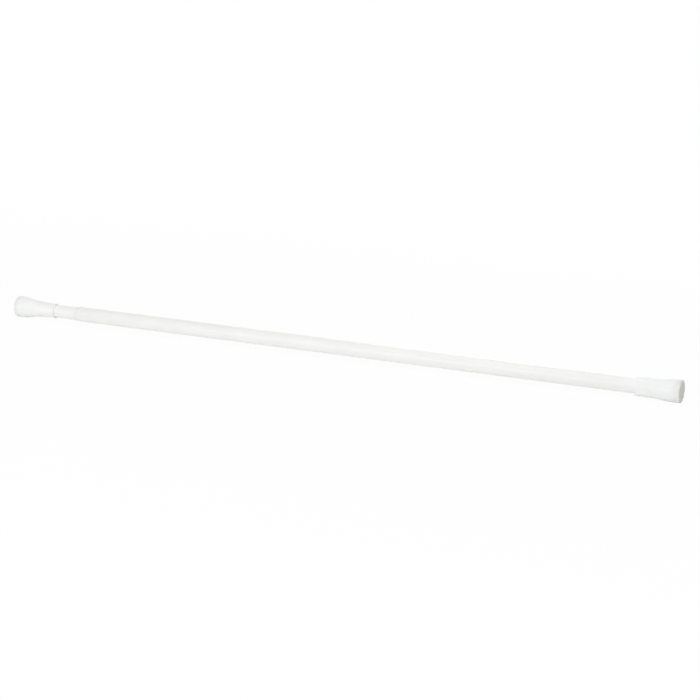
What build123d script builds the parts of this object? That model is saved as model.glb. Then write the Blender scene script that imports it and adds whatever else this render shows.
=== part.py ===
from build123d import *
import os

# Telescopic curtain rod that a spring clamps between two walls, pushed together to its shortest length.
# Frame: X runs along the rod and Z is up. The origin is the centre of the fixed end's wall face, and the rod
# runs from there towards -X: the fixed wall is at X = 0 and the sprung end's wall at X = -collapsed_length.
# Each end is drawn from its own wall inwards: a depth is a distance from that wall. All sizes are in mm.

# The whole rod and its two tubes
collapsed_length = 1200.0
bare_inner_length = 41.5
outer_tube_diameter = 25.0
outer_tube_wall = 0.7
telescoping_gap = 0.8
inner_tube_wall = 0.7

# Clearances: what is pressed or slipped together for good, what runs, and what slides loosely
assembly_clearance = 0.05
running_clearance = 0.05
bush_slide_clearance = 0.10
loose_clearance = 0.30

# Wall pads: a rubber cup that snaps over the spigot of each end cap
foot_diameter = 36.0
pad_face_thickness = 3.0
pad_rim_length = 7.0
pad_rim_wall = 2.4
pad_edge_bevel = 0.8
seam_chamfer = 0.4
grip_groove_count = 2
grip_groove_pitch = 5.2
grip_groove_first_radius = 5.6
grip_groove_width = 1.6
grip_groove_depth = 0.6
snap_bead_height = 0.5
snap_bead_width = 1.6

# End cap mouldings
cap_wall = 2.0
cap_end_wall = 6.0
cap_rib_width = 1.6
cap_lip_bevel = 0.5
fixed_cap_length = 72.0
fixed_cap_barrel = 10.0
fixed_cap_sleeve = 23.0
fixed_cap_mouth_wall = 3.0
fixed_cap_collar = 6.0
fixed_cap_ribs = 6
fixed_shoulder_radius = 100.0
sprung_cap_length = 77.5
sprung_cap_barrel = 4.0
sprung_cap_sleeve = 13.5
sprung_cap_mouth_wall = 1.3
sprung_cap_collar = 30.0
sprung_cap_ribs = 6
sprung_shoulder_radius = 60.0

# Plug in the outer tube's end, and the screw that draws the fixed cap onto it
outer_tube_depth = 30.0
plug_flange = 1.5
plug_length = 39.0
plug_wall = 1.8
plug_end_wall = 3.0
plug_boss_radius = 4.4
plug_boss_length = 17.0
plug_rib_width = 1.6
plug_rib_count = 4
plug_pin_depth = 57.0
screw_radius = 1.95
screw_head_radius = 3.6
screw_head_height = 2.4
screw_head_bevel = 0.9
screw_drive_radius = 1.3
cap_screw_length = 38.0

# Cross pins
cross_pin_radius = 1.5
pin_recess = 0.15

# Bush in the outer tube's mouth
bush_liner_length = 20.0
bush_nose_length = 8.0
bush_tip_wall = 0.8

# Twist lock on the inner tube's inner end
lock_rest_gap = 0.5
core_plug_length = 26.0
core_bore_radius = 6.5
core_bore_depth = 9.0
core_pin_inset = 10.0
core_shoulder = 2.0
ring_thickness = 2.7
ring_length = 7.8
ring_end_play = 0.1
ring_slit = 1.2
cam_offset = 0.6
cam_gap = 0.9
cam_journal_radius = 6.0
cam_length = 15.8
cam_end_play = 0.2
cam_slit = 2.0
cam_flute_count = 20
cam_flute_width = 1.1
cam_washer_radius = 8.5
cam_washer_thickness = 1.5
cam_screw_length = 20.0

# Spring end
inner_tube_depth = 38.0
seat_flange = 1.5
seat_length = 36.0
seat_end_wall = 8.0
rivet_radius = 1.6
rivet_length = 4.8
spring_wire = 1.45
spring_mean_radius = 7.2
spring_turns = 5
spring_wire_sides = 6
spring_room = 0.6
spring_boss_length = 5.0
bolt_radius = 2.5
bolt_length = 76.0
bolt_head_across_flats = 8.0
bolt_head_height = 3.5
washer_radius = 7.0
washer_thickness = 1.2
nut_height = 5.0
nut_collar_height = 1.4
stop_gap = 0.1

# Mating sizes that follow from the values above
foot_radius = foot_diameter / 2
spigot_radius = foot_radius - pad_rim_wall - assembly_clearance
outer_tube_radius = outer_tube_diameter / 2
outer_bore_radius = outer_tube_radius - outer_tube_wall
inner_tube_radius = outer_bore_radius - telescoping_gap
inner_bore_radius = inner_tube_radius - inner_tube_wall
fixed_cap_bore = outer_tube_radius + assembly_clearance
fixed_cap_mouth = fixed_cap_bore + fixed_cap_mouth_wall
sprung_cap_bore = inner_tube_radius + loose_clearance
sprung_cap_mouth = sprung_cap_bore + sprung_cap_mouth_wall
cap_front = pad_face_thickness
cap_inside = cap_front + cap_end_wall
plug_front = outer_tube_depth - plug_flange
plug_back = outer_tube_depth + plug_length
plug_radius = outer_bore_radius - assembly_clearance
ring_radius = outer_bore_radius - running_clearance
ring_journal_radius = ring_radius - ring_thickness - running_clearance
ring_journal_length = ring_length + 2 * ring_end_play
cam_radius = outer_bore_radius - cam_gap
cam_journal_length = cam_length + 2 * cam_end_play
core_length = core_shoulder + ring_journal_length + cam_journal_length
lock_length = core_length + cam_washer_thickness + screw_head_height
inner_end_depth = plug_back + lock_rest_gap + lock_length
inner_tube_length = collapsed_length - inner_tube_depth - inner_end_depth
mouth_depth = collapsed_length - sprung_cap_length - bare_inner_length - bush_nose_length
core_radius = inner_bore_radius - assembly_clearance
seat_back = inner_tube_depth + seat_length
seat_inside = seat_back - seat_end_wall
spring_radius = spring_mean_radius + spring_wire / 2
spring_bore_radius = spring_radius + spring_room
bolt_hole_radius = bolt_radius + loose_clearance
screw_hole_radius = screw_radius + assembly_clearance
bolt_head_back = cap_front + bolt_head_height + assembly_clearance
washer_depth = seat_back + stop_gap
nut_depth = washer_depth + washer_thickness


def from_fixed_wall(shape):
    """Places what was drawn by its depth from the fixed wall."""
    return Rot(0, 0, 180) * shape


def from_sprung_wall(shape):
    """Places what was drawn by its depth from the sprung end's wall."""
    return Pos(-collapsed_length, 0, 0) * shape


def from_lock_end(shape):
    """Places what was drawn from the inner tube's inner end, towards the fixed wall."""
    return Pos(-inner_end_depth, 0, 0) * shape


def ring(start, end, outer, inner=0.0):
    """A turned ring or disc between two stations on the X axis."""
    centre = Pos((start + end) / 2, (outer + inner) / 2)
    return revolve(centre * Rectangle(end - start, outer - inner), Axis.X)


def cross_bar(station, radius, half_length):
    """A round bar across the rod, along Y."""
    return Pos(station, 0, 0) * Rot(90, 0, 0) * Cylinder(radius, 2 * half_length)


def spokes(start, end, width, count, reach):
    """Ribs that stand out from the X axis as a star."""
    blade = Pos((start + end) / 2, 0, reach / 2) * Box(end - start, width, reach)
    return Sketch() + [Rot(360.0 / count * turn, 0, 0) * blade for turn in range(count)]


def hex_bar(start, end, across_flats):
    """A hexagonal bar along X."""
    outline = RegularPolygon(across_flats / 2, 6, major_radius=False)
    return extrude(Plane.YZ.offset(start) * outline, amount=end - start)


def turned(outline):
    """A solid turned about X from a closed outline of lines and curves."""
    return revolve(make_face(outline), Axis.X)


# End caps
def flare(foot, mouth, start, end, shoulder_radius):
    """The flare of a cap: a round shoulder off the barrel, then a hollow arc that runs into the sleeve."""
    drop = foot - mouth
    both_radii = ((end - start) ** 2 + drop**2) / (2 * drop)
    share = shoulder_radius / both_radii
    turning_point = (start + share * (end - start), foot - share * drop)
    shoulder = TangentArc((start, foot), turning_point, tangent=(1, 0))
    hollow = TangentArc((end, mouth), turning_point, tangent=(-1, 0))
    return shoulder + hollow


def cap_skin(mouth, length, barrel, sleeve, shoulder_radius):
    """The outer form of a cap, filled: spigot with snap bead, barrel, flare, sleeve and bevelled mouth."""
    barrel_end = pad_rim_length + barrel
    outline = Polyline(
        (length - sleeve, mouth),
        (length - cap_lip_bevel, mouth),
        (length, mouth - cap_lip_bevel),
        (length, 0),
        (cap_front, 0),
        (cap_front, spigot_radius),
        (pad_rim_length, spigot_radius),
        (pad_rim_length, foot_radius - seam_chamfer),
        (pad_rim_length + seam_chamfer, foot_radius),
        (barrel_end, foot_radius),
    )
    curve = flare(foot_radius, mouth, barrel_end, length - sleeve, shoulder_radius)
    return turned(outline + curve) + snap_bead(spigot_radius, snap_bead_height)


def cap_cavity(mouth, length, barrel, sleeve, shoulder_radius, collar):
    """The hollow of a cap without its ribs, one wall inside its skin, from the end wall to the collar."""
    barrel_end = pad_rim_length + barrel
    foot_inside = foot_radius - cap_wall
    outline = Polyline(
        (length - sleeve, mouth - cap_wall),
        (length, mouth - cap_wall),
        (length, 0),
        (cap_inside, 0),
        (cap_inside, foot_inside),
        (barrel_end, foot_inside),
    )
    curve = flare(foot_inside, mouth - cap_wall, barrel_end, length - sleeve, shoulder_radius)
    return turned(outline + curve) & ring(cap_inside, length - collar, foot_radius)


def snap_bead(radius, height):
    """The ridge round the spigot that keeps the pad on."""
    middle = (cap_front + pad_rim_length) / 2
    half = snap_bead_width / 2
    outline = Polyline(
        (middle - half, radius - height),
        (middle - half, radius),
        (middle, radius + height),
        (middle + half, radius),
        (middle + half, radius - height),
        close=True,
    )
    return turned(outline)


def fixed_end_cap():
    """Ribbed moulding whose skirt covers the outer tube and is screwed to its plug."""
    form = (fixed_cap_mouth, fixed_cap_length, fixed_cap_barrel, fixed_cap_sleeve, fixed_shoulder_radius)
    ribs = spokes(cap_front, fixed_cap_length, cap_rib_width, fixed_cap_ribs, foot_diameter)
    boss = ring(cap_front, plug_front, plug_boss_radius)
    head_seat = cap_front + screw_head_height + 2 * assembly_clearance
    cap = cap_skin(*form) - (cap_cavity(*form, fixed_cap_collar) - ribs - boss)
    cap -= ring(plug_front, fixed_cap_length, fixed_cap_bore)
    cap -= ring(cap_front, head_seat, screw_head_radius + loose_clearance)
    return cap - ring(cap_front, plug_front, screw_hole_radius)


def sprung_end_cap():
    """Ribbed moulding that slides on the inner tube and holds the spring and the guide bolt."""
    form = (
        sprung_cap_mouth,
        sprung_cap_length,
        sprung_cap_barrel,
        sprung_cap_sleeve,
        sprung_shoulder_radius,
    )
    ribs = spokes(cap_front, sprung_cap_length, cap_rib_width, sprung_cap_ribs, foot_diameter)
    boss_end = cap_inside + spring_boss_length
    boss_radius = spring_mean_radius - spring_wire / 2 - loose_clearance
    cap = cap_skin(*form) - (cap_cavity(*form, sprung_cap_collar) - ribs)
    cap -= ring(cap_inside, boss_end, spring_bore_radius, boss_radius)
    cap -= ring(boss_end, sprung_cap_length, sprung_cap_bore)
    cap -= hex_bar(cap_front, bolt_head_back, bolt_head_across_flats + 2 * assembly_clearance)
    return cap - ring(cap_front, boss_end, bolt_radius + assembly_clearance)


def wall_pad():
    """Soft rubber cup with concentric grip grooves in its wall face."""
    outline = Polyline(
        (0, 0),
        (0, foot_radius - pad_edge_bevel),
        (pad_edge_bevel, foot_radius),
        (pad_rim_length, foot_radius),
        (pad_rim_length, foot_radius - pad_rim_wall),
        (pad_face_thickness, foot_radius - pad_rim_wall),
        (pad_face_thickness, 0),
        close=True,
    )
    pad = turned(outline) - snap_bead(foot_radius - pad_rim_wall, snap_bead_height)
    for groove in range(grip_groove_count):
        inner = grip_groove_first_radius + groove * grip_groove_pitch
        pad -= ring(0, grip_groove_depth, inner + grip_groove_width, inner)
    return pad


# Tubes and the outer tube's own pieces
def outer_tube():
    """Long tube that carries the curtain, drilled for the plug's cross pin."""
    tube = ring(outer_tube_depth, mouth_depth, outer_tube_radius, outer_bore_radius)
    return tube - cross_bar(plug_pin_depth, cross_pin_radius + assembly_clearance, outer_tube_diameter)


def inner_tube():
    """Tube that slides in the outer one, drilled for the seat's rivets and the core's pin."""
    end = inner_tube_depth + inner_tube_length
    tube = ring(inner_tube_depth, end, inner_tube_radius, inner_bore_radius)
    tube -= cross_bar(seat_back - seat_end_wall / 2, rivet_radius + assembly_clearance, outer_tube_diameter)
    return tube - cross_bar(end - core_pin_inset, cross_pin_radius + assembly_clearance, outer_tube_diameter)


def tube_plug():
    """Moulded cup pressed into the outer tube, with a flange over its end and a screw boss."""
    flange = ring(plug_front, outer_tube_depth, outer_tube_radius)
    boss = ring(plug_front, plug_front + plug_boss_length, plug_boss_radius)
    ribs = spokes(plug_front, plug_back, plug_rib_width, plug_rib_count, plug_radius)
    inside = ring(plug_front, plug_back - plug_end_wall, plug_radius - plug_wall)
    plug = flange + ring(outer_tube_depth, plug_back, plug_radius) - (inside - ribs - boss)
    plug -= ring(plug_front, plug_front + plug_boss_length, screw_hole_radius)
    return plug - cross_bar(plug_pin_depth, cross_pin_radius + assembly_clearance, outer_tube_radius)


def mouth_bush():
    """Liner in the outer tube's mouth with a tapered nose that shows."""
    bore = inner_tube_radius + bush_slide_clearance
    tip = mouth_depth + bush_nose_length
    outline = Polyline(
        (mouth_depth - bush_liner_length, bore),
        (mouth_depth - bush_liner_length, plug_radius),
        (mouth_depth, plug_radius),
        (mouth_depth, outer_tube_radius),
        (tip, bore + bush_tip_wall),
        (tip, bore),
        close=True,
    )
    return turned(outline)


def cross_pin(station, tube_radius):
    """Steel pin across a tube, its ends just below the surface."""
    return cross_bar(station, cross_pin_radius, tube_radius - pin_recess)


def pan_screw(seat, length, head_direction):
    """Self-tapping screw along X: its head stands from the seat in the given direction."""
    head = ring(0, screw_head_height, screw_head_radius)
    rim = head.faces().sort_by(Axis.X)[-1].edges()
    head = chamfer(rim, screw_head_bevel)
    blade = Box(screw_head_height, screw_drive_radius / 2, 2 * screw_drive_radius)
    drive = Pos(screw_head_height, 0, 0) * blade
    head = head - drive - Rot(90, 0, 0) * drive
    screw = head + ring(-length, 0, screw_radius)
    turn = 0 if head_direction > 0 else 180
    return Pos(seat, 0, 0) * Rot(0, 0, turn) * screw


# Twist lock, drawn from the inner tube's inner end towards the fixed wall
def lock_core():
    """Plug with a shoulder, the ring's journal and, off the rod's axis, the cam's journal."""
    journal_start = core_shoulder + ring_journal_length
    core = ring(-core_plug_length, 0, core_radius) + ring(0, core_shoulder, inner_tube_radius)
    core += ring(core_shoulder, journal_start, ring_journal_radius)
    core += Pos(0, 0, cam_offset) * ring(journal_start, core_length, cam_journal_radius)
    core -= ring(-core_plug_length, core_bore_depth - core_plug_length, core_bore_radius)
    core -= Pos(0, 0, cam_offset) * ring(core_length - cam_screw_length, core_length, screw_hole_radius)
    return core - cross_bar(-core_pin_inset, cross_pin_radius + assembly_clearance, core_radius)


def guide_ring():
    """Split ring that drags in the outer tube while the core turns in it."""
    start = core_shoulder + ring_end_play
    slit = Pos(start, 0, -ring_radius) * Box(3 * ring_length, ring_slit, ring_radius)
    return ring(start, start + ring_length, ring_radius, ring_radius - ring_thickness) - slit


def lock_cam():
    """Split ring, round on the rod's axis, with its bore off that axis and grip flutes outside."""
    start = core_shoulder + ring_journal_length + cam_end_play
    cam = ring(start, start + cam_length, cam_radius)
    cam -= Pos(0, 0, cam_offset) * ring(start, start + cam_length, cam_journal_radius + running_clearance)
    middle = start + cam_length / 2
    flute = Pos(middle, 0, cam_radius) * Rot(45, 0, 0) * Box(2 * cam_length, cam_flute_width, cam_flute_width)
    for turn in range(cam_flute_count):
        cam -= Rot(360.0 * (turn + 0.5) / cam_flute_count, 0, 0) * flute
    return cam - Pos(middle, 0, cam_radius) * Box(2 * cam_length, cam_slit, cam_radius)


def cam_washer():
    """Flat washer that keeps the cam on its journal."""
    end = core_length + cam_washer_thickness
    return Pos(0, 0, cam_offset) * ring(core_length, end, cam_washer_radius, screw_hole_radius)


def cam_screw():
    """Screw through the washer into the core, on the cam journal's axis."""
    return Pos(0, 0, cam_offset) * pan_screw(core_length + cam_washer_thickness, cam_screw_length, 1)


# Spring end, drawn from the sprung wall inwards
def spring_seat():
    """Cup in the inner tube's end that holds the spring and guides the bolt."""
    front = inner_tube_depth - seat_flange
    seat = ring(inner_tube_depth, seat_back, core_radius) + ring(front, inner_tube_depth, inner_tube_radius)
    seat -= ring(front, seat_inside, spring_bore_radius)
    seat -= ring(seat_inside, seat_back, bolt_hole_radius)
    for rivet in rivet_pair(assembly_clearance):
        seat -= rivet
    return seat


def rivet_pair(growth=0.0):
    """The two rivets across the seat's end wall, or their holes."""
    outer = inner_tube_radius - pin_recess
    body = Cylinder(rivet_radius + growth, rivet_length + 2 * growth)
    middle = outer - rivet_length / 2
    station = seat_back - seat_end_wall / 2
    return [Pos(station, side * middle, 0) * Rot(90, 0, 0) * body for side in (1, -1)]


def compression_spring():
    """Round wire coil between the sprung cap and the seat."""
    start = cap_inside + spring_wire / 2 + assembly_clearance
    end = seat_inside - spring_wire / 2 - assembly_clearance
    pitch = (end - start) / spring_turns
    path = Helix(pitch, end - start, spring_mean_radius)
    wire = Plane(origin=path @ 0, z_dir=path % 0) * RegularPolygon(spring_wire / 2, spring_wire_sides)
    coil = sweep(wire, path=path, is_frenet=True)
    return Pos(start, 0, 0) * Rot(0, 90, 0) * coil


def guide_bolt():
    """Long hex bolt: its head lies under the pad and its shank runs through spring and seat."""
    head_front = bolt_head_back - bolt_head_height
    shank = ring(bolt_head_back, bolt_head_back + bolt_length, bolt_radius)
    point = shank.faces().sort_by(Axis.X)[-1].edges()
    return hex_bar(head_front, bolt_head_back, bolt_head_across_flats) + chamfer(point, bolt_radius / 4)


def stop_washer():
    """Washer that meets the seat when the sprung cap is fully out."""
    return ring(washer_depth, nut_depth, washer_radius, bolt_radius + assembly_clearance)


def lock_nut():
    """Self-locking nut with its round collar."""
    collar_start = nut_depth + nut_height - nut_collar_height
    nut = hex_bar(nut_depth, collar_start, bolt_head_across_flats)
    nut += ring(collar_start, nut_depth + nut_height, bolt_head_across_flats / 2)
    return nut - ring(nut_depth, nut_depth + nut_height, bolt_radius + assembly_clearance)


def all_pieces():
    """Every piece of the rod in its place, by name."""
    cap_screw_seat = cap_front + screw_head_height + 2 * assembly_clearance
    lock_pin = cross_pin(-core_pin_inset, inner_tube_radius)
    return {
        "outer_tube": from_fixed_wall(outer_tube()),
        "fixed_end_cap": from_fixed_wall(fixed_end_cap()),
        "fixed_wall_pad": from_fixed_wall(wall_pad()),
        "tube_plug": from_fixed_wall(tube_plug()),
        "plug_pin": from_fixed_wall(cross_pin(plug_pin_depth, outer_tube_radius)),
        "cap_screw": from_fixed_wall(pan_screw(cap_screw_seat, cap_screw_length, -1)),
        "mouth_bush": from_fixed_wall(mouth_bush()),
        "inner_tube": from_sprung_wall(inner_tube()),
        "lock_core": from_lock_end(lock_core()),
        "core_pin": from_lock_end(lock_pin),
        "guide_ring": from_lock_end(guide_ring()),
        "lock_cam": from_lock_end(lock_cam()),
        "cam_washer": from_lock_end(cam_washer()),
        "cam_screw": from_lock_end(cam_screw()),
        "spring_seat": from_sprung_wall(spring_seat()),
        "seat_rivets": from_sprung_wall(Compound(children=rivet_pair())),
        "compression_spring": from_sprung_wall(compression_spring()),
        "sprung_end_cap": from_sprung_wall(sprung_end_cap()),
        "sprung_wall_pad": from_sprung_wall(wall_pad()),
        "guide_bolt": from_sprung_wall(guide_bolt()),
        "stop_washer": from_sprung_wall(stop_washer()),
        "lock_nut": from_sprung_wall(lock_nut()),
    }


os.makedirs("parts", exist_ok=True)
for name, piece in all_pieces().items():
    export_step(piece, f"parts/{name}.step")
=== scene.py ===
import math

import bmesh
import bpy
from bpy.props import FloatProperty, FloatVectorProperty, IntProperty, PointerProperty, StringProperty
from mathutils import Matrix, Vector


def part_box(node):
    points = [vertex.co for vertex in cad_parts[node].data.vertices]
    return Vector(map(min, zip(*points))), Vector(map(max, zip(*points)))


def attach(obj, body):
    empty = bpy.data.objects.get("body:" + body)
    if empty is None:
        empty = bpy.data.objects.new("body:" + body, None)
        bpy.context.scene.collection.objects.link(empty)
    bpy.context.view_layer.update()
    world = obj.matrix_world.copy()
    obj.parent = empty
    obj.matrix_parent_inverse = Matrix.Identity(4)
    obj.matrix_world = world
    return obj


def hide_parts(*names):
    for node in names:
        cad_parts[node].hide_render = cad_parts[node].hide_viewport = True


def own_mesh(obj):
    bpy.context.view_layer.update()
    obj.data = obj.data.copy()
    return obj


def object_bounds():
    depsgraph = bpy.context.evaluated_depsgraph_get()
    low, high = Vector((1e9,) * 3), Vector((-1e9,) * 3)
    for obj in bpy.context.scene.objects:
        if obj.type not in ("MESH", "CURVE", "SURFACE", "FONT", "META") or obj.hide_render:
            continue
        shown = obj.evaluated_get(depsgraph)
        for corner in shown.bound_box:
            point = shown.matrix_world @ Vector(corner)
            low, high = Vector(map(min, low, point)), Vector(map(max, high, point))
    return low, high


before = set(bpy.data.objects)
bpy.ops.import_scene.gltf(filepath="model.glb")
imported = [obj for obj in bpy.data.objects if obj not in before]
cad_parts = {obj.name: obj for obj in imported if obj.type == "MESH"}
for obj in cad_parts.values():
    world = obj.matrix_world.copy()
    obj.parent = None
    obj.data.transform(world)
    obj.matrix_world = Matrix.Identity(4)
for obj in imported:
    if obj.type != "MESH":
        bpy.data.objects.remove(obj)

bl_info = {
    "name": "Telescopic curtain rod",
    "version": (1, 0, 0),
    "blender": (4, 5, 0),
    "location": "View3D > Sidebar > Curtain Rod",
    "description": "Powder-coated tubes, moulded end caps and rubber wall feet round the rod's frame",
    "category": "Object",
}

MM = 0.001
CAD_BOUNDS = [list(corner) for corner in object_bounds()]

# Places along X: the two walls and the rod's middle
FIXED_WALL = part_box("fixed_wall_pad")[1].x
SPRUNG_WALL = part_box("sprung_wall_pad")[0].x
MIDDLE = (FIXED_WALL + SPRUNG_WALL) / 2

# Facets round large turned pieces, shanks, drilled holes and the spring's wire
TURNED_SIDES = 96
SHANK_SIDES = 48
HOLE_SIDES = 32
WIRE_SIDES = 16
HEXAGON = 6

# Steps in each turn of a thread and of the coil, and along each arc of a flare
THREAD_STEPS = 24
COIL_STEPS = 64
FLARE_STEPS = 8

# Points nearer to each other than this are one, in metres
MERGE_DISTANCE = 1e-6

# A slanting direction, along which the points of a mesh have an order of their own
SORT_AXIS = Vector((1.0, 0.618034, 0.414214))

# Softboxes: place from the rod's middle, width and height, in metres
SOFTBOXES = {
    "overhead": ((0.1, 0.0, 2.2), (3.0, 2.0)),
    "front": ((-0.4, -2.6, 0.7), (4.0, 1.6)),
    "back": ((0.0, 2.6, 0.9), (2.4, 1.6)),
}


# Sizes and colours that a user would change
def size(name, millimetres, description):
    """A length property, given in millimetres and kept in metres."""
    return FloatProperty(
        name=name, description=description, default=millimetres * MM, min=0.0, unit="LENGTH", precision=5
    )


def angle(name, degrees, description):
    """An angle, given in degrees and kept in radians."""
    return FloatProperty(name=name, description=description, default=math.radians(degrees), subtype="ANGLE")


def amount(name, value, description, unit="NONE"):
    """A plain number, or one in another unit."""
    return FloatProperty(name=name, description=description, default=value, min=0.0, unit=unit)


def hex_colour(name, value, description):
    """An sRGB colour written as hex."""
    return StringProperty(name=name, description=description, default=value, maxlen=7)


class TubeSettings(bpy.types.PropertyGroup):
    """The two powder-coated tubes and the bush between them."""
    wall: size("Wall", 0.7, "Thickness of both tubes' steel")
    rim_radius: size("Rim radius", 0.2, "Rounding of the cut tube ends")
    bush_tip_wall: size("Bush tip wall", 0.8, "Thickness of the bush at its tapered tip")
    bush_edge: size("Bush edge", 0.3, "Rounding of the bush's outer edges")
    bush_gap: size("Bush gap", 0.1, "Radial gap between bush and inner tube")
    fit_gap: size("Fit gap", 0.05, "Radial gap of pieces that are pressed together")
    hole_margin: size("Hole margin", 3.0, "Length of tube beside a drilled hole that gets its own faces")
    peel_cell: size("Orange peel", 1.8, "Width of one cell of the coat's orange peel")
    coat: hex_colour("Coat", "#F5F5F3", "Powder coat")
    coat_shade: hex_colour("Coat shade", "#F2F2F1", "Powder coat where it is a little thinner")
    bush: hex_colour("Bush", "#F1F1EF", "Moulded bush")
    bush_shade: hex_colour("Bush shade", "#EDEDEA", "Bush along its flow lines")


class CapSettings(bpy.types.PropertyGroup):
    """The two flared end cap mouldings."""
    wall: size("Wall", 2.0, "Thickness of a cap's shell")
    end_wall: size("End wall", 6.0, "Thickness of a cap's end")
    seam: size("Seam", 7.0, "Depth of the seam between pad and cap")
    seam_edge: size("Seam edge", 0.4, "Bevel of the cap at the seam")
    bead_height: size("Bead height", 0.5, "Height of the snap bead on the spigot")
    bead_width: size("Bead width", 1.6, "Width of the snap bead")
    rib_width: size("Rib width", 1.6, "Thickness of the ribs inside a cap")
    lip: size("Lip", 0.5, "Rounding of a cap's mouth")
    ribs: IntProperty(name="Ribs", description="Ribs inside each cap", default=6, min=4)
    fixed_barrel: size("Fixed barrel", 10.0, "Straight length behind the fixed cap's seam")
    fixed_sleeve: size("Fixed sleeve", 23.0, "Straight length at the fixed cap's mouth")
    fixed_shoulder: size("Fixed shoulder", 100.0, "Radius of the fixed cap's shoulder")
    fixed_collar: size("Fixed collar", 6.0, "Solid ring at the fixed cap's mouth")
    fixed_mouth_wall: size("Fixed mouth wall", 3.0, "Wall at the fixed cap's mouth")
    sprung_barrel: size("Sprung barrel", 4.0, "Straight length behind the sprung cap's seam")
    sprung_sleeve: size("Sprung sleeve", 13.5, "Straight length at the sprung cap's mouth")
    sprung_shoulder: size("Sprung shoulder", 60.0, "Radius of the sprung cap's shoulder")
    sprung_collar: size("Sprung collar", 30.0, "Solid ring at the sprung cap's mouth")
    sprung_mouth_wall: size("Sprung mouth wall", 1.3, "Wall at the sprung cap's mouth")
    slide_gap: size("Slide gap", 0.3, "Radial gap of pieces that slide or lie loosely in each other")
    boss: size("Boss", 4.4, "Radius of the boss round the fixed cap's screw")
    screw_hole: size("Screw hole", 2.0, "Radius of the hole for the fixed cap's screw")
    bolt_hole: size("Bolt hole", 2.55, "Radius of the hole for the guide bolt")
    star_length: size("Star length", 5.0, "Length of the star that centres the spring")
    spring_room: size("Spring room", 0.6, "Gap round the spring in its groove")
    plastic: hex_colour("Plastic", "#F7F8F7", "Moulded polypropylene")
    plastic_shade: hex_colour("Plastic shade", "#F4F5F4", "Polypropylene along its flow lines")


class PadSettings(bpy.types.PropertyGroup):
    """The rubber wall pads."""
    face: size("Face", 3.0, "Thickness of the pad's wall face")
    rim_wall: size("Rim wall", 2.4, "Wall of the rim round the spigot")
    edge: size("Edge", 1.2, "Rounding of the pad's front edge")
    seam_edge: size("Seam edge", 0.25, "Rounding of the pad at the seam")
    groove_radius: size("First groove", 5.6, "Inner radius of the first grip groove")
    groove_pitch: size("Groove pitch", 5.2, "Distance from one grip groove to the next")
    groove_width: size("Groove width", 1.6, "Width of a grip groove")
    groove_depth: size("Groove depth", 0.6, "Depth of a grip groove")
    groove_edge: size("Groove edge", 0.15, "Rounding of a grip groove's edges")
    grooves: IntProperty(name="Grooves", description="Grip grooves in the face", default=2, min=1)
    rubber: hex_colour("Rubber", "#F3F3EE", "Moulded rubber")
    rubber_shade: hex_colour("Rubber shade", "#EEEEE8", "Rubber where the mould left it rougher")


class FastenerSettings(bpy.types.PropertyGroup):
    """Screws, bolt and spring inside the rod."""
    screw_core: size("Screw core", 1.35, "Core radius of the self-tapping screws")
    screw_crest: size("Screw crest", 1.95, "Outer radius of the self-tapping screws' thread")
    screw_pitch: size("Screw pitch", 1.6, "Pitch of the self-tapping screws")
    screw_flank: size("Screw flank", 0.45, "Half the foot of a self-tapping thread")
    bolt_core: size("Bolt core", 2.05, "Core radius of the guide bolt's thread")
    bolt_shank: size("Bolt shank", 2.5, "Radius of the guide bolt's plain shank and thread")
    bolt_pitch: size("Bolt pitch", 0.8, "Pitch of the guide bolt's thread")
    bolt_flank: size("Bolt flank", 0.36, "Half the foot of the bolt's thread")
    bolt_thread: size("Bolt thread", 16.0, "Threaded length of the guide bolt")
    bolt_head: size("Bolt head", 3.5, "Height of the bolt's head")
    head_edge: size("Head edge", 0.3, "Bevel of the bolt head's corners")
    screw_head: size("Screw head", 2.4, "Height of a screw's head")
    screw_dome: size("Screw dome", 1.0, "Rounding of a screw's head")
    drive: size("Drive", 1.3, "Half the length of a screw's cross slots")
    wire: size("Wire", 1.45, "Spring wire's diameter")
    end_gap: size("End gap", 0.05, "Gap between the spring's end and its seat")
    travel: size("Travel", 20.0, "How far the sprung cap goes in")
    turns: IntProperty(name="Turns", description="Turns of the spring", default=5, min=3)
    zinc: hex_colour("Zinc", "#C9CCD0", "Zinc plate")
    zinc_shade: hex_colour("Zinc shade", "#B9BCC1", "Zinc plate's dull specks")
    steel: hex_colour("Steel", "#8E8F93", "Spring wire")
    steel_shade: hex_colour("Steel shade", "#7B7C80", "Streaks on the spring wire")


class LockSettings(bpy.types.PropertyGroup):
    """Mouldings inside the rod, which keep their own shape."""
    nylon: hex_colour("Nylon", "#E2E0D4", "Undyed nylon")
    nylon_shade: hex_colour("Nylon shade", "#DDDACD", "Undyed nylon where it is thicker")
    acetal: hex_colour("Acetal", "#E8E8E2", "White acetal")
    acetal_shade: hex_colour("Acetal shade", "#E2E2DB", "White acetal along its flow lines")


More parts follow.
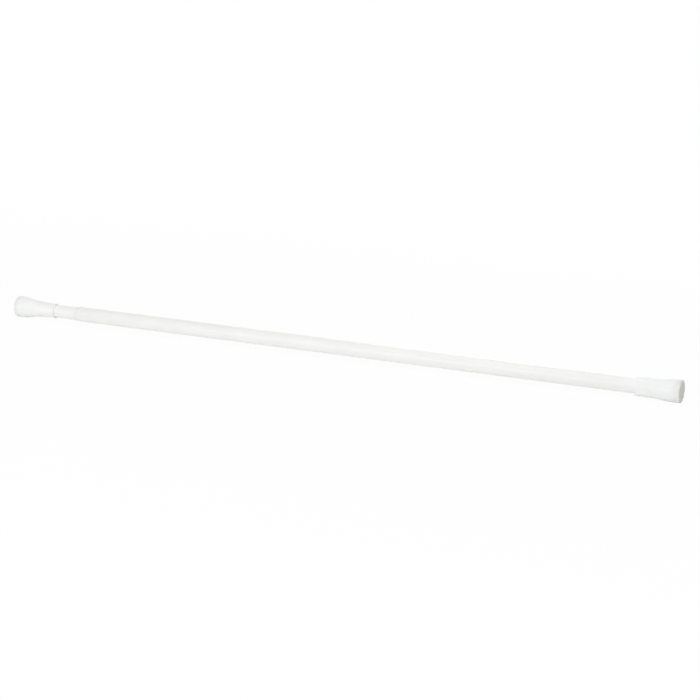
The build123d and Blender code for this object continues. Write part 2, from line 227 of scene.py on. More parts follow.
class StageSettings(bpy.types.PropertyGroup):
    """Camera, floor and light."""
    azimuth: angle("Azimuth", 23.7, "Camera's turn round the rod")
    elevation: angle("Elevation", 17.1, "Camera's height angle")
    distance: size("Distance", 3259.7, "Camera to aim point")
    aim: FloatVectorProperty(
        name="Aim",
        description="Point at the middle of the view",
        default=(-0.5589, 0.0, -0.002),
        subtype="XYZ",
    )
    lens: amount("Lens", 101.6, "Focal length on a 36 mm sensor", unit="CAMERA")
    sky: amount("Sky", 0.29, "Strength of the even light")
    overhead: amount("Overhead", 29.0, "Overhead softbox", unit="POWER")
    front: amount("Front", 38.0, "Front softbox", unit="POWER")
    back: amount("Back", 20.0, "Back softbox", unit="POWER")
    glow: amount("Glow", 0.94, "Share of plain white seen in the floor by the rod")
    fade_start: size("Fade start", 350.0, "Distance from the rod where the floor starts to whiten")
    fade_end: size("Fade end", 1000.0, "Distance from the rod where the floor is plain white")
    floor_reach: size("Floor reach", 30000.0, "From the floor's middle to its edges")
    floor_colour: hex_colour("Floor", "#FCFCFC", "Pale floor")


# Meshes
def shade(mesh, sharp_angle=30.0):
    """Smooth faces with sharp edges where the form turns."""
    mesh.polygons.foreach_set("use_smooth", [True] * len(mesh.polygons))
    mesh.set_sharp_from_angle(angle=math.radians(sharp_angle))


def put_in_order(bm):
    """Sorts points, edges and faces by place, so that each run gives the same mesh."""
    bm.verts.sort(key=lambda vert: vert.co.dot(SORT_AXIS))
    bm.edges.sort(key=lambda edge: (edge.verts[0].co + edge.verts[1].co).dot(SORT_AXIS))
    bm.faces.sort(key=lambda face: face.calc_center_median().dot(SORT_AXIS))


def finished(bm, name):
    """Ends a bmesh: merges doubles, turns faces outwards, sorts it and makes the object at the origin."""
    bmesh.ops.remove_doubles(bm, verts=bm.verts, dist=MERGE_DISTANCE)
    bmesh.ops.recalc_face_normals(bm, faces=bm.faces)
    put_in_order(bm)
    mesh = bpy.data.meshes.new(name)
    bm.to_mesh(mesh)
    bm.free()
    shade(mesh)
    piece = bpy.data.objects.new(name, mesh)
    bpy.context.scene.collection.objects.link(piece)
    return piece


def turn_outline(bm, outline, closed, sides=TURNED_SIDES):
    """Turns (x, radius) points round the X axis. An open outline starts and ends on the axis."""
    verts = [bm.verts.new((x, 0.0, radius)) for x, radius in outline]
    pairs = list(zip(verts, verts[1:]))
    if closed:
        pairs.append((verts[-1], verts[0]))
    edges = [bm.edges.new(pair) for pair in pairs]
    bmesh.ops.spin(
        bm,
        geom=verts + edges,
        cent=(0, 0, 0),
        axis=(1, 0, 0),
        dvec=(0, 0, 0),
        angle=2 * math.pi,
        steps=sides,
        use_merge=True,
        use_duplicate=False,
    )
    bmesh.ops.remove_doubles(bm, verts=bm.verts, dist=MERGE_DISTANCE)
    bmesh.ops.recalc_face_normals(bm, faces=bm.faces)


def bevel(bm, edges, width, segments=3):
    """Rounds edges."""
    bmesh.ops.bevel(
        bm,
        geom=edges,
        offset=width,
        offset_type="OFFSET",
        segments=segments,
        profile=0.5,
        affect="EDGES",
        material=-1,
        clamp_overlap=True,
    )


def soften(bm, corners, width, tolerance=2e-5):
    """Rounds the turned edges that pass through given (x, radius) corners."""

    def at_corner(vert):
        radius = math.hypot(vert.co.y, vert.co.z)
        return any(abs(vert.co.x - x) < tolerance and abs(radius - r) < tolerance for x, r in corners)

    def is_ring(edge):
        start, end = edge.verts
        return abs(start.co.x - end.co.x) < tolerance and at_corner(start) and at_corner(end)

    bevel(bm, [edge for edge in bm.edges if is_ring(edge)], width)


def blade(bm, corners, width, turn):
    """A flat plate through (x, radius) corners, as thick as width and turned round the X axis."""
    verts = [bm.verts.new((x, -width / 2, radius)) for x, radius in corners]
    grown = bmesh.ops.extrude_face_region(bm, geom=[bm.faces.new(verts)])["geom"]
    far = [item for item in grown if isinstance(item, bmesh.types.BMVert)]
    bmesh.ops.translate(bm, verts=far, vec=(0, width, 0))
    bmesh.ops.rotate(bm, verts=verts + far, cent=(0, 0, 0), matrix=Matrix.Rotation(turn, 3, "X"))


def hex_bar(bm, low, high, half_width):
    """A hexagonal bar along X, with its flats at half_width from the axis."""
    half_side = math.pi / HEXAGON
    radius = half_width / math.cos(half_side)
    place = Matrix.Translation(((low + high) / 2, 0, 0)) @ Matrix.Rotation(math.pi / 2, 4, "Y")
    bar = bmesh.ops.create_cone(
        bm, cap_ends=True, segments=HEXAGON, radius1=radius, radius2=radius, depth=high - low, matrix=place
    )
    bmesh.ops.rotate(bm, verts=bar["verts"], cent=(0, 0, 0), matrix=Matrix.Rotation(half_side, 3, "X"))


def cross_bar(station, radius, length):
    """A round bar across the rod, along Y, as a cutting tool."""
    bm = bmesh.new()
    place = Matrix.Translation((station, 0, 0)) @ Matrix.Rotation(math.pi / 2, 4, "X")
    bmesh.ops.create_cone(
        bm, cap_ends=True, segments=HOLE_SIDES, radius1=radius, radius2=radius, depth=length, matrix=place
    )
    return finished(bm, "bar_tool")


def helix(bm, section, pitch, turns, steps_per_turn):
    """Carries a closed (x, radius) section round the X axis in a helix, and closes its ends."""
    verts = [bm.verts.new((x, 0.0, radius)) for x, radius in section]
    edges = [bm.edges.new(pair) for pair in zip(verts, verts[1:] + verts[:1])]
    steps = round(turns * steps_per_turn)
    end = bmesh.ops.spin(
        bm,
        geom=verts + edges,
        cent=(0, 0, 0),
        axis=(1, 0, 0),
        dvec=(pitch / steps_per_turn, 0, 0),
        angle=2 * math.pi * turns,
        steps=steps,
        use_merge=False,
        use_duplicate=False,
    )["geom_last"]
    last = [item for item in end if isinstance(item, bmesh.types.BMEdge)]
    bmesh.ops.contextual_create(bm, geom=edges)
    bmesh.ops.contextual_create(bm, geom=last)


def cut_or_join(piece, tool, operation):
    """Cuts a tool mesh out of a piece, or joins it on, and deletes the tool."""
    modifier = piece.modifiers.new("shape", "BOOLEAN")
    modifier.operation = operation
    modifier.solver = "EXACT"
    modifier.object = tool
    bpy.context.view_layer.update()
    shaped = bpy.data.meshes.new_from_object(piece.evaluated_get(bpy.context.evaluated_depsgraph_get()))
    piece.modifiers.clear()
    bm = bmesh.new()
    bm.from_mesh(shaped)
    bmesh.ops.remove_doubles(bm, verts=bm.verts, dist=MERGE_DISTANCE)
    bmesh.ops.triangulate(bm, faces=[face for face in bm.faces if len(face.verts) > 4])
    bmesh.ops.dissolve_degenerate(bm, dist=MERGE_DISTANCE, edges=bm.edges)
    put_in_order(bm)
    bm.to_mesh(shaped)
    bm.free()
    old = piece.data
    piece.data = shaped
    bpy.data.meshes.remove(old)
    bpy.data.objects.remove(tool)
    shade(shaped)


def seat(piece, body, slot, material, *nodes):
    """Hangs a finished piece on its body in place of its solids, with its finish."""
    piece.data.materials.clear()
    piece.data.materials.append(material)
    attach(piece, body)
    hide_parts(*nodes)


def finish(material, *nodes):
    """Gives nodes that keep their own shape a material."""
    for node in nodes:
        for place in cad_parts[node].material_slots:
            place.material = material


def radius_of(node):
    """Outer radius of a turned node."""
    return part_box(node)[1].z


# Materials
def linear(value):
    """An sRGB hex colour as linear RGBA."""
    channels = [int(value[start:start + 2], 16) / 255 for start in (1, 3, 5)]
    return [c / 12.92 if c <= 0.04045 else ((c + 0.055) / 1.055) ** 2.4 for c in channels] + [1.0]


def add(tree, kind, inputs=None, **settings):
    """Adds a node with its settings. Inputs are numbers, colours or another node's output."""
    node = tree.nodes.new(kind)
    for name, value in settings.items():
        setattr(node, name, value)
    for name, value in (inputs or {}).items():
        if isinstance(value, bpy.types.NodeSocket):
            tree.links.new(value, node.inputs[name])
        else:
            node.inputs[name].default_value = value
    return node


def surface(name, tones, blotch, gloss, gloss_blotch, grain=None, stretch=(1, 1, 1), shader=None):
    """Two close tones in soft blotches and uneven gloss. Grain is a bump's cell, height and strength."""
    material = bpy.data.materials.new(name)
    material.use_nodes = True
    tree = material.node_tree
    tree.nodes.clear()
    place = add(tree, "ShaderNodeTexCoord").outputs["Object"]
    place = add(tree, "ShaderNodeMapping", {"Vector": place, "Scale": stretch}).outputs["Vector"]
    # Soft noise lies mostly between 0.3 and 0.7
    spread = {"From Min": 0.3, "From Max": 0.7}
    inputs = {"Vector": place, "Scale": 1 / blotch, "Detail": 2.0}
    tone = add(tree, "ShaderNodeTexNoise", inputs).outputs["Fac"]
    tone = add(tree, "ShaderNodeMapRange", {"Value": tone} | spread).outputs["Result"]
    inputs = {0: tone, 6: linear(tones[0]), 7: linear(tones[1])}
    colour = add(tree, "ShaderNodeMix", inputs, data_type="RGBA").outputs[2]
    inputs = {"Vector": place, "Scale": 1 / gloss_blotch, "Detail": 2.0}
    rough = add(tree, "ShaderNodeTexNoise", inputs).outputs["Fac"]
    inputs = {"Value": rough, "To Min": gloss[0], "To Max": gloss[1]} | spread
    rough = add(tree, "ShaderNodeMapRange", inputs).outputs["Result"]
    inputs = {"Base Color": colour, "Roughness": rough} | (shader or {})
    if grain:
        cell, height, strength = grain
        bumps = {"Vector": place, "Scale": 1 / cell, "Detail": 2.0}
        bumps = add(tree, "ShaderNodeTexNoise", bumps).outputs["Fac"]
        bumps = add(tree, "ShaderNodeBump", {"Height": bumps, "Strength": strength, "Distance": height})
        inputs["Normal"] = bumps.outputs["Normal"]
    skin = add(tree, "ShaderNodeBsdfPrincipled", inputs)
    add(tree, "ShaderNodeOutputMaterial", {"Surface": skin.outputs["BSDF"]})
    return material


def powder_coat(settings):
    """White polyester powder coat baked on welded steel tube: satin, faintly dimpled like orange peel."""
    return surface(
        "polyester_powder_coat",
        tones=(settings.coat, settings.coat_shade),
        blotch=60 * MM,
        gloss=(0.34, 0.42),
        gloss_blotch=18 * MM,
        grain=(settings.peel_cell, 0.02 * MM, 0.35),
        shader={"IOR": 1.5, "Coat Weight": 0.08},
    )


def polypropylene(settings):
    """White polypropylene from a sparked steel mould: soft satin, with flow marks along the rod."""
    return surface(
        "moulded_polypropylene",
        tones=(settings.plastic, settings.plastic_shade),
        blotch=9 * MM,
        gloss=(0.42, 0.52),
        gloss_blotch=6 * MM,
        grain=(0.5 * MM, 0.01 * MM, 0.3),
        stretch=(0.25, 1, 1),
        shader={"IOR": 1.49, "Subsurface Weight": 0.1, "Subsurface Scale": 1.5 * MM},
    )


def moulded_rubber(settings):
    """Off-white thermoplastic rubber: matt, a little velvety, with a fine grain."""
    return surface(
        "moulded_rubber",
        tones=(settings.rubber, settings.rubber_shade),
        blotch=4 * MM,
        gloss=(0.68, 0.8),
        gloss_blotch=3 * MM,
        grain=(0.4 * MM, 0.02 * MM, 0.5),
        shader={"IOR": 1.52, "Sheen Weight": 0.05},
    )


def white_nylon(settings):
    """The bush's nylon: white, moulded smooth, slightly waxy."""
    return surface(
        "moulded_white_nylon",
        tones=(settings.bush, settings.bush_shade),
        blotch=5 * MM,
        gloss=(0.42, 0.5),
        gloss_blotch=3 * MM,
        grain=(0.6 * MM, 0.01 * MM, 0.25),
        shader={"IOR": 1.53, "Subsurface Weight": 0.1, "Subsurface Scale": 1 * MM},
    )


def natural_nylon(settings):
    """Undyed nylon: creamy and waxy, light goes a little way in."""
    return surface(
        "natural_nylon",
        tones=(settings.nylon, settings.nylon_shade),
        blotch=5 * MM,
        gloss=(0.38, 0.48),
        gloss_blotch=3 * MM,
        grain=(0.6 * MM, 0.01 * MM, 0.25),
        shader={"IOR": 1.53, "Subsurface Weight": 0.15, "Subsurface Scale": 2 * MM},
    )


def white_acetal(settings):
    """Acetal: whiter, harder and shinier than nylon."""
    return surface(
        "moulded_acetal",
        tones=(settings.acetal, settings.acetal_shade),
        blotch=6 * MM,
        gloss=(0.28, 0.36),
        gloss_blotch=4 * MM,
        shader={"IOR": 1.48, "Subsurface Weight": 0.08, "Subsurface Scale": 1 * MM},
    )


def zinc_plate(settings):
    """Bright zinc on turned steel: cool grey metal with fine dull specks."""
    return surface(
        "bright_zinc_plate",
        tones=(settings.zinc, settings.zinc_shade),
        blotch=1.2 * MM,
        gloss=(0.22, 0.38),
        gloss_blotch=0.6 * MM,
        grain=(0.3 * MM, 0.004 * MM, 0.3),
        shader={"Metallic": 1.0},
    )


def spring_wire(settings):
    """Cold-drawn spring wire, lightly oiled: dark grey metal with small streaks."""
    return surface(
        "drawn_spring_wire",
        tones=(settings.steel, settings.steel_shade),
        blotch=0.8 * MM,
        gloss=(0.25, 0.4),
        gloss_blotch=0.5 * MM,
        grain=(0.25 * MM, 0.004 * MM, 0.3),
        shader={"Metallic": 1.0},
    )


# Tubes and bush
def drilled_tube(node, settings, *pins):
    """A tube with rounded rims, drilled for its cross pins."""
    low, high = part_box(node)
    outer = radius_of(node)
    bore = outer - settings.wall
    rims = [(low.x, outer), (high.x, outer), (high.x, bore), (low.x, bore)]
    beside = sorted(
        x
        for pin in pins
        for x in (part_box(pin)[0].x - settings.hole_margin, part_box(pin)[1].x + settings.hole_margin)
    )
    outside = [(x, outer) for x in [low.x, *beside, high.x]]
    inside = [(x, bore) for x in [high.x, *reversed(beside), low.x]]
    bm = bmesh.new()
    turn_outline(bm, outside + inside, closed=True)
    soften(bm, rims, settings.rim_radius)
    tube = finished(bm, f"{node}_coated")
    for pin in pins:
        low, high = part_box(pin)
        radius = (high.x - low.x) / 2 + settings.fit_gap
        # The drill reaches well past both sides of the tube
        drill = cross_bar((low.x + high.x) / 2, radius, 4 * outer)
        cut_or_join(tube, drill, "DIFFERENCE")
    return tube


class ROD_OT_tubes(bpy.types.Operator):
    """Makes the outer and the inner tube"""
    bl_idname = "curtain_rod.tubes"
    bl_label = "Powder-coated tubes"

    def execute(self, context):
        settings = context.scene.rod_tubes
        coat = powder_coat(settings)
        outer = drilled_tube("outer_tube", settings, "plug_pin")
        seat(outer, "outer", "powder_coat", coat, "outer_tube")
        inner = drilled_tube("inner_tube", settings, "seat_rivets", "core_pin")
        seat(inner, "inner", "powder_coat", coat, "inner_tube")
        return {"FINISHED"}


class ROD_OT_mouth_bush(bpy.types.Operator):
    """Makes the bush in the outer tube's mouth"""
    bl_idname = "curtain_rod.mouth_bush"
    bl_label = "Mouth bush"

    def execute(self, context):
        settings = context.scene.rod_tubes
        low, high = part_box("mouth_bush")
        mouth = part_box("outer_tube")[0].x
        tube = radius_of("outer_tube")
        bore = radius_of("inner_tube") + settings.bush_gap
        liner = tube - settings.wall - settings.fit_gap
        tip = bore + settings.bush_tip_wall
        outline = [
            (high.x, bore),
            (high.x, liner),
            (mouth, liner),
            (mouth, tube),
            (low.x, tip),
            (low.x, bore),
        ]
        bm = bmesh.new()
        turn_outline(bm, outline, closed=True)
        soften(bm, [(mouth, tube), (low.x, tip)], settings.bush_edge)
        bush = finished(bm, "mouth_bush_moulded")
        seat(bush, "outer", "bush_plastic", white_nylon(settings), "mouth_bush")
        return {"FINISHED"}


# End caps, drawn by depth from their own wall and then put in place
def fit_gap():
    """Gap of pieces that are pressed together."""
    return bpy.context.scene.rod_tubes.fit_gap


def flare(foot, mouth, start, end, shoulder):
    """The flare of a cap: points of a round shoulder and of the hollow arc that runs into the sleeve."""
    drop = foot - mouth
    both = ((end - start) ** 2 + drop**2) / (2 * drop)
    full = math.asin((end - start) / both)
    hollow = both - shoulder
    angles = [full * step / FLARE_STEPS for step in range(FLARE_STEPS + 1)]
    first = [(start + shoulder * math.sin(a), foot - shoulder * (1 - math.cos(a))) for a in angles]
    second = [(end - hollow * math.sin(a), mouth + hollow * (1 - math.cos(a))) for a in reversed(angles)]
    return first + second[1:]


def cap_skin(settings, pad, foot, mouth, length, barrel, sleeve, shoulder):
    """The outside of a cap, from the front of its spigot to its mouth."""
    spigot = foot - pad.rim_wall - fit_gap()
    middle = (pad.face + settings.seam) / 2
    half = settings.bead_width / 2
    return [
        (pad.face, spigot),
        (middle - half, spigot),
        (middle, spigot + settings.bead_height),
        (middle + half, spigot),
        (settings.seam, spigot),
        (settings.seam, foot),
        *flare(foot, mouth, settings.seam + barrel, length - sleeve, shoulder),
        (length, mouth),
    ]


def cavity_wall(settings, inside, collar, foot, mouth, length, barrel, sleeve, shoulder):
    """The inside of a cap, one wall below its skin, from its end wall to its collar."""
    start = settings.seam + barrel
    curve = flare(foot - settings.wall, mouth - settings.wall, start, length - sleeve, shoulder)
    kept = [(x, r) for x, r in curve if x < collar]
    beyond = [(x, r) for x, r in curve if x >= collar]
    if beyond:
        (x0, r0), (x1, r1) = kept[-1], beyond[0]
        last = r0 + (r1 - r0) * (collar - x0) / (x1 - x0)
    else:
        last = mouth - settings.wall
    return [(inside, foot - settings.wall), *kept, (collar, last)]


def rib_corners(settings, wall, core, step, bore):
    """A rib's corners: its outer edge follows the cavity wall, its inner one steps from core to bore."""
    bite = settings.wall / 2
    (inside, first), *between, (collar, last) = wall
    low = [(inside - bite, core), (step, core), (step, bore), (collar + bite, bore)]
    high = [(collar + bite, last + bite), *[(x, r + bite) for x, r in reversed(between)]]
    return [*low, *high, (inside - bite, first + bite)]


def join_ribs(cap, settings, *plates):
    """Joins a cap's ribs on, evenly round the axis. Each rib is one flat plate or more."""
    ribs = bmesh.new()
    for turn in range(settings.ribs):
        for corners in plates:
            blade(ribs, corners, settings.rib_width, 2 * math.pi * turn / settings.ribs)
    cut_or_join(cap, finished(ribs, "rib_tool"), "UNION")


def to_fixed_wall(piece):
    """Puts a piece drawn by depth at the fixed wall, facing along the rod."""
    piece.data.transform(Matrix.Translation((FIXED_WALL, 0, 0)) @ Matrix.Rotation(math.pi, 4, "Z"))


def to_sprung_wall(piece):
    """Puts a piece drawn by depth at the sprung wall."""
    piece.data.transform(Matrix.Translation((SPRUNG_WALL, 0, 0)))


def fixed_cap(settings, pad, fasteners):
    """The fixed cap: a ribbed skirt over the outer tube, with a seat for its screw."""
    foot = radius_of("fixed_end_cap")
    length = FIXED_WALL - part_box("fixed_end_cap")[0].x
    tube_start = FIXED_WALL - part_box("tube_plug")[1].x
    bore = radius_of("outer_tube") + fit_gap()
    mouth = bore + settings.fixed_mouth_wall
    form = (foot, mouth, length, settings.fixed_barrel, settings.fixed_sleeve, settings.fixed_shoulder)
    inside = pad.face + settings.end_wall
    collar = length - settings.fixed_collar
    wall = cavity_wall(settings, inside, collar, *form)
    head = radius_of("cap_screw") + settings.slide_gap
    head_seat = pad.face + fasteners.screw_head + 2 * fit_gap()
    inner = [
        (length, bore),
        (collar, bore),
        *reversed(wall),
        (inside, settings.boss),
        (tube_start, settings.boss),
        (tube_start, settings.screw_hole),
        (head_seat, settings.screw_hole),
        (head_seat, head),
        (pad.face, head),
    ]
    bm = bmesh.new()
    turn_outline(bm, cap_skin(settings, pad, *form) + inner, closed=True)
    soften(bm, [(settings.seam, foot)], settings.seam_edge)
    soften(bm, [(length, mouth), (length, bore)], settings.lip)
    cap = finished(bm, "fixed_end_cap_moulded")
    core = settings.boss - settings.wall / 2
    join_ribs(cap, settings, rib_corners(settings, wall, core, tube_start, bore))
    to_fixed_wall(cap)
    return cap


def sprung_cap(settings, pad, fasteners):
    """The sprung cap: a ribbed sleeve on the inner tube, with a groove for the spring and a hex pocket."""
    foot = radius_of("sprung_end_cap")
    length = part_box("sprung_end_cap")[1].x - SPRUNG_WALL
    bore = radius_of("inner_tube") + settings.slide_gap
    mouth = bore + settings.sprung_mouth_wall
    form = (foot, mouth, length, settings.sprung_barrel, settings.sprung_sleeve, settings.sprung_shoulder)
    inside = pad.face + settings.end_wall
    collar = length - settings.sprung_collar
    wall = cavity_wall(settings, inside, collar, *form)
    star_end = inside + settings.star_length
    spring = radius_of("compression_spring")
    groove_high = spring + settings.spring_room
    groove_low = spring - fasteners.wire - settings.slide_gap
    hole = settings.bolt_hole
    inner = [(length, bore), (collar, bore), *reversed(wall), (inside, hole), (pad.face, hole)]
    bm = bmesh.new()
    turn_outline(bm, cap_skin(settings, pad, *form) + inner, closed=True)
    soften(bm, [(settings.seam, foot)], settings.seam_edge)
    soften(bm, [(length, mouth)], settings.lip)
    cap = finished(bm, "sprung_end_cap_moulded")
    bite = settings.wall / 2
    star = [(inside - bite, hole), (star_end, hole), (star_end, groove_low), (inside - bite, groove_low)]
    join_ribs(cap, settings, rib_corners(settings, wall, groove_high, star_end, bore), star)
    pocket = bmesh.new()
    depth = pad.face + fasteners.bolt_head + fit_gap()
    hex_bar(pocket, pad.face - bite, depth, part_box("guide_bolt")[1].z + fit_gap())
    cut_or_join(cap, finished(pocket, "pocket_tool"), "DIFFERENCE")
    to_sprung_wall(cap)
    return cap


class ROD_OT_end_caps(bpy.types.Operator):
    """Makes the two flared end caps"""
    bl_idname = "curtain_rod.end_caps"
    bl_label = "End caps"

    def execute(self, context):
        scene = context.scene
        plastic = polypropylene(scene.rod_caps)
        sizes = (scene.rod_caps, scene.rod_pads, scene.rod_fasteners)
        seat(fixed_cap(*sizes), "outer", "cap_plastic", plastic, "fixed_end_cap")
        seat(sprung_cap(*sizes), "sprung_end", "cap_plastic", plastic, "sprung_end_cap")
        return {"FINISHED"}


# Wall pads
def wall_pad(name, settings, caps):
    """A rubber cup with grip grooves in its wall face, drawn by depth from the wall."""
    foot = radius_of("fixed_wall_pad")
    inside = foot - settings.rim_wall
    middle = (settings.face + caps.seam) / 2
    half = caps.bead_width / 2
    face = [(0.0, 0.0)]
    edges = []
    depth = settings.groove_depth
    for groove in range(settings.grooves):
        near = settings.groove_radius + groove * settings.groove_pitch
        far = near + settings.groove_width
        face += [(0.0, near), (depth, near), (depth, far), (0.0, far)]
        edges += [(0.0, near), (0.0, far)]
    cup = [
        (0.0, foot),
        (caps.seam, foot),
        (caps.seam, inside),
        (middle + half, inside),
        (middle, inside + caps.bead_height),
        (middle - half, inside),
        (settings.face, inside),
        (settings.face, 0.0),
    ]
    bm = bmesh.new()
    turn_outline(bm, face + cup, closed=False)
    soften(bm, [(0.0, foot)], settings.edge)
    soften(bm, [(caps.seam, foot)], settings.seam_edge)
    soften(bm, edges, settings.groove_edge)
    return finished(bm, name)


class ROD_OT_wall_pads(bpy.types.Operator):
    """Makes the two rubber wall pads"""
    bl_idname = "curtain_rod.wall_pads"
    bl_label = "Wall pads"

    def execute(self, context):
        settings = context.scene.rod_pads
        caps = context.scene.rod_caps
        rubber = moulded_rubber(settings)
        fixed = wall_pad("fixed_wall_pad_moulded", settings, caps)
        to_fixed_wall(fixed)
        seat(fixed, "outer", "pad_rubber", rubber, "fixed_wall_pad")
        sprung = wall_pad("sprung_wall_pad_moulded", settings, caps)
        to_sprung_wall(sprung)
        seat(sprung, "sprung_end", "pad_rubber", rubber, "sprung_wall_pad")
        return {"FINISHED"}


# Spring and fasteners
def thread(low, high, core, crest, pitch, flank):
    """A pointed ridge wound round a shank's core, as a tool to join on."""
    bite = (crest - core) / 2
    section = [(low, core - bite), (low + flank, crest), (low + 2 * flank, core - bite)]
    bm = bmesh.new()
    helix(bm, section, pitch, (high - low - 2 * flank) / pitch, THREAD_STEPS)
    return finished(bm, "thread_tool")


def pan_screw(node, settings):
    """A screw with a pan head, a cross recess, a pointed shank and a coarse thread. Its head faces +X."""
    low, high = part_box(node)
    head = (high.y - low.y) / 2
    top = settings.screw_head
    length = high.x - low.x - top
    core = settings.screw_core
    outline = [(-length, 0.0), (core - length, core), (0.0, core), (0.0, head), (top, head), (top, 0.0)]
    bm = bmesh.new()
    turn_outline(bm, outline, closed=False, sides=SHANK_SIDES)
    soften(bm, [(top, head)], settings.screw_dome)
    screw = finished(bm, f"{node}_threaded")
    # The thread runs from the point's root to a little below the head
    pitch = settings.screw_pitch
    ridge = thread(core - length, -core / 2, core, settings.screw_crest, pitch, settings.screw_flank)
    cut_or_join(screw, ridge, "UNION")
    # The slots go half-way down into the head
    reach = settings.drive
    corners = [(top / 2, -reach), (2 * top, -reach), (2 * top, reach), (top / 2, reach)]
    for turn in (0, math.pi / 2):
        slot = bmesh.new()
        blade(slot, corners, reach / 2, turn)
        cut_or_join(screw, finished(slot, "slot_tool"), "DIFFERENCE")
    screw.data.transform(Matrix.Translation((high.x - top, 0, (low.z + high.z) / 2)))
    return screw


def guide_bolt(settings):
    """The long bolt: a hexagonal head, a plain shank and a fine thread at its inner end."""
    low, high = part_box("guide_bolt")
    core = settings.bolt_core
    shank = settings.bolt_shank
    head_back = low.x + settings.bolt_head
    root = head_back - settings.bolt_head / 2
    plain = high.x - settings.bolt_thread
    step = shank - core
    # The turned shank starts inside the head, which is joined on later
    outline = [
        (root, 0.0),
        (root, shank),
        (plain, shank),
        (plain + step, core),
        (high.x - step, core),
        (high.x, core - step),
        (high.x, 0.0),
    ]
    bm = bmesh.new()
    turn_outline(bm, outline, closed=False, sides=SHANK_SIDES)
    bolt = finished(bm, "guide_bolt_threaded")
    ridge = thread(plain, high.x - step, core, shank, settings.bolt_pitch, settings.bolt_flank)
    cut_or_join(bolt, ridge, "UNION")
    head = bmesh.new()
    hex_bar(head, low.x, head_back, high.z)
    bevel(head, list(head.edges), settings.head_edge, segments=2)
    cut_or_join(bolt, finished(head, "head_tool"), "UNION")
    return bolt


class ROD_OT_spring(bpy.types.Operator):
    """Winds the compression spring from round wire"""
    bl_idname = "curtain_rod.spring"
    bl_label = "Compression spring"

    def execute(self, context):
        settings = context.scene.rod_fasteners
        low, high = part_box("compression_spring")
        wire = settings.wire / 2
        mean = high.z - wire
        length = high.x - low.x - 2 * wire
        angles = [2 * math.pi * side / WIRE_SIDES for side in range(WIRE_SIDES)]
        # A radius below zero starts the coil under the axis, where the solid's starts
        section = [(low.x + wire + wire * math.cos(a), -mean - wire * math.sin(a)) for a in angles]
        bm = bmesh.new()
        helix(bm, section, length / settings.turns, settings.turns, COIL_STEPS)
        coil = finished(bm, "compression_spring_wound")
        seat(coil, "inner", "spring_steel", spring_wire(settings), "compression_spring")
        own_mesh(coil)
        return {"FINISHED"}


class ROD_OT_steel_pieces(bpy.types.Operator):
    """Makes the screws and the guide bolt with their threads, and plates all small steel pieces"""
    bl_idname = "curtain_rod.steel_pieces"
    bl_label = "Screws, bolt and small steel pieces"

    def execute(self, context):
        settings = context.scene.rod_fasteners
        zinc = zinc_plate(settings)
        seat(pan_screw("cap_screw", settings), "outer", "zinc_steel", zinc, "cap_screw")
        seat(pan_screw("cam_screw", settings), "inner", "zinc_steel", zinc, "cam_screw")
        seat(guide_bolt(settings), "sprung_end", "zinc_steel", zinc, "guide_bolt")
        finish(zinc, "plug_pin", "core_pin", "cam_washer", "seat_rivets", "stop_washer", "lock_nut")
        return {"FINISHED"}


class ROD_OT_inner_mouldings(bpy.types.Operator):
    """Gives the moulded inner pieces, which keep their own shape, their finish"""
    bl_idname = "curtain_rod.inner_mouldings"
    bl_label = "Inner mouldings"

    def execute(self, context):
        settings = context.scene.rod_lock
        finish(natural_nylon(settings), "tube_plug", "guide_ring", "spring_seat")
        finish(white_acetal(settings), "lock_core", "lock_cam")
        return {"FINISHED"}


# Stage
def softbox(name, offset, extent, watts):
    """A rectangular area light that points at the rod's middle."""
    light = bpy.data.lights.new(name, "AREA")
    light.shape = "RECTANGLE"
    light.size, light.size_y = extent
    light.energy = watts
    lamp = bpy.data.objects.new(name, light)
    lamp.location = Vector((MIDDLE, 0, 0)) + Vector(offset)
    lamp.rotation_euler = (-Vector(offset)).to_track_quat("-Z", "Y").to_euler()
    bpy.context.scene.collection.objects.link(lamp)


def seen_directly(tree):
    """1 for rays from the camera and for mirrored or refracted ones, 0 for the light on things."""
    path = add(tree, "ShaderNodeLightPath").outputs
    both = {0: path["Is Camera Ray"], 1: path["Is Glossy Ray"]}
    first = add(tree, "ShaderNodeMath", both, operation="MAXIMUM").outputs[0]
    both = {0: first, 1: path["Is Transmission Ray"]}
    return add(tree, "ShaderNodeMath", both, operation="MAXIMUM").outputs[0]


def white_sky(settings):
    """An even pale sky that looks plain white itself."""
    world = bpy.data.worlds.new("studio_white")
    world.use_nodes = True
    tree = world.node_tree
    tree.nodes.clear()
    light = add(tree, "ShaderNodeBackground", {"Color": (1, 1, 1, 1), "Strength": settings.sky})
    plain = add(tree, "ShaderNodeBackground", {"Color": (1, 1, 1, 1), "Strength": 1.0})
    both = {0: seen_directly(tree), 1: light.outputs[0], 2: plain.outputs[0]}
    mix = add(tree, "ShaderNodeMixShader", both)
    add(tree, "ShaderNodeOutputWorld", {"Surface": mix.outputs[0]})
    bpy.context.scene.world = world


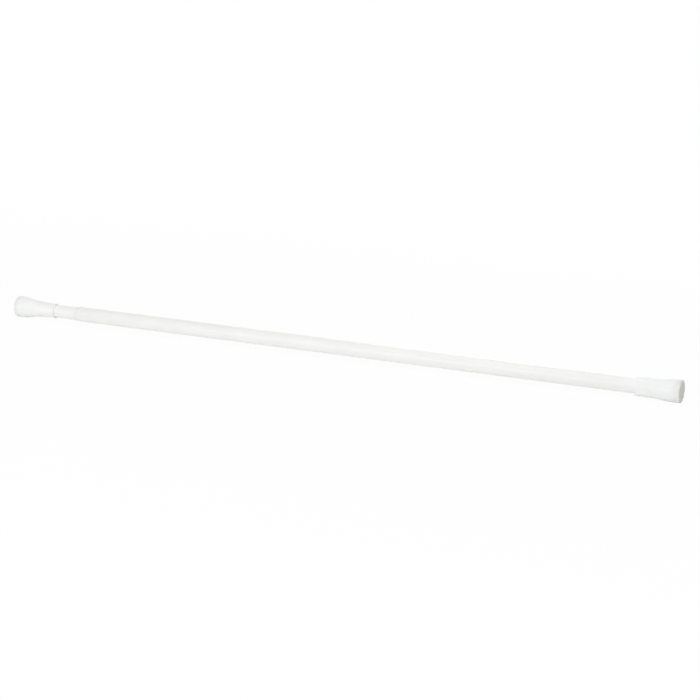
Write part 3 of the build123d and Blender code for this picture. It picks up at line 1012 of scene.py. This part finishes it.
def pale_floor(settings):
    """Matt white paper: seen nearly plain white with the rod's faint shadow, and plain white far off."""
    material = bpy.data.materials.new("white_paper")
    material.use_nodes = True
    tree = material.node_tree
    tree.nodes.clear()
    paper = add(tree, "ShaderNodeBsdfDiffuse", {"Color": linear(settings.floor_colour)})
    glow = add(tree, "ShaderNodeEmission", {"Color": (1, 1, 1, 1), "Strength": 1.0})
    place = add(tree, "ShaderNodeTexCoord").outputs["Object"]
    # The fade is centred on the rod and reaches twice as far along it as across it
    squeeze = 0.5
    inputs = {"Vector": place, "Location": (-squeeze * MIDDLE, 0, 0), "Scale": (squeeze, 1, 0)}
    place = add(tree, "ShaderNodeMapping", inputs).outputs["Vector"]
    away = add(tree, "ShaderNodeVectorMath", {0: place}, operation="LENGTH").outputs["Value"]
    inputs = {"From Min": settings.fade_start, "From Max": settings.fade_end, "To Min": settings.glow}
    glowing = add(tree, "ShaderNodeMapRange", {"Value": away} | inputs).outputs["Result"]
    share = add(tree, "ShaderNodeMath", {0: seen_directly(tree), 1: glowing}, operation="MULTIPLY")
    both = {0: share.outputs[0], 1: paper.outputs[0], 2: glow.outputs[0]}
    mix = add(tree, "ShaderNodeMixShader", both)
    add(tree, "ShaderNodeOutputMaterial", {"Surface": mix.outputs[0]})
    bm = bmesh.new()
    bmesh.ops.create_grid(bm, x_segments=1, y_segments=1, size=settings.floor_reach)
    # The paper lies under the rod's lowest point
    bmesh.ops.translate(bm, verts=bm.verts, vec=(0, 0, CAD_BOUNDS[0][2]))
    floor = finished(bm, "floor")
    floor.data.materials.append(material)


class ROD_OT_stage(bpy.types.Operator):
    """Makes the floor, the light and the camera"""
    bl_idname = "curtain_rod.stage"
    bl_label = "Stage"

    def execute(self, context):
        settings = context.scene.rod_stage
        white_sky(settings)
        pale_floor(settings)
        for name, (offset, extent) in SOFTBOXES.items():
            softbox(f"{name}_softbox", offset, extent, getattr(settings, name))
        level = math.cos(settings.elevation)
        towards = Vector((
            math.sin(settings.azimuth) * level,
            -math.cos(settings.azimuth) * level,
            math.sin(settings.elevation),
        ))
        lens = bpy.data.cameras.new("camera")
        lens.lens = settings.lens
        lens.sensor_width = 36.0
        lens.clip_end = 100.0
        camera = bpy.data.objects.new("camera", lens)
        camera.location = Vector(settings.aim) + towards * settings.distance
        camera.rotation_euler = (-towards).to_track_quat("-Z", "Y").to_euler()
        context.scene.collection.objects.link(camera)
        context.scene.camera = camera
        context.scene.view_settings.view_transform = "Standard"
        return {"FINISHED"}


class ROD_PT_panel(bpy.types.Panel):
    """The rod's operators and sizes"""
    bl_idname = "ROD_PT_panel"
    bl_label = "Curtain Rod"
    bl_space_type = "VIEW_3D"
    bl_region_type = "UI"
    bl_category = "Curtain Rod"

    def draw(self, context):
        for operator in OPERATORS:
            self.layout.operator(operator.bl_idname)
        for group in SETTINGS:
            box = self.layout.box()
            values = getattr(context.scene, group)
            for name in values.__annotations__:
                box.prop(values, name)


# Registration and run
SETTINGS = {
    "rod_tubes": TubeSettings,
    "rod_caps": CapSettings,
    "rod_pads": PadSettings,
    "rod_fasteners": FastenerSettings,
    "rod_lock": LockSettings,
    "rod_stage": StageSettings,
}
OPERATORS = (
    ROD_OT_tubes,
    ROD_OT_mouth_bush,
    ROD_OT_end_caps,
    ROD_OT_wall_pads,
    ROD_OT_spring,
    ROD_OT_steel_pieces,
    ROD_OT_inner_mouldings,
    ROD_OT_stage,
)
CLASSES = (*SETTINGS.values(), *OPERATORS, ROD_PT_panel)


def register():
    for kind in CLASSES:
        bpy.utils.register_class(kind)
    for name, kind in SETTINGS.items():
        setattr(bpy.types.Scene, name, PointerProperty(type=kind))


def unregister():
    for name in SETTINGS:
        delattr(bpy.types.Scene, name)
    for kind in reversed(CLASSES):
        bpy.utils.unregister_class(kind)


def main():
    register()
    bpy.ops.curtain_rod.tubes()
    bpy.ops.curtain_rod.mouth_bush()
    bpy.ops.curtain_rod.end_caps()
    bpy.ops.curtain_rod.wall_pads()
    bpy.ops.curtain_rod.spring()
    bpy.ops.curtain_rod.steel_pieces()
    bpy.ops.curtain_rod.inner_mouldings()
    bpy.ops.curtain_rod.stage()


if __name__ == "__main__":
    main()
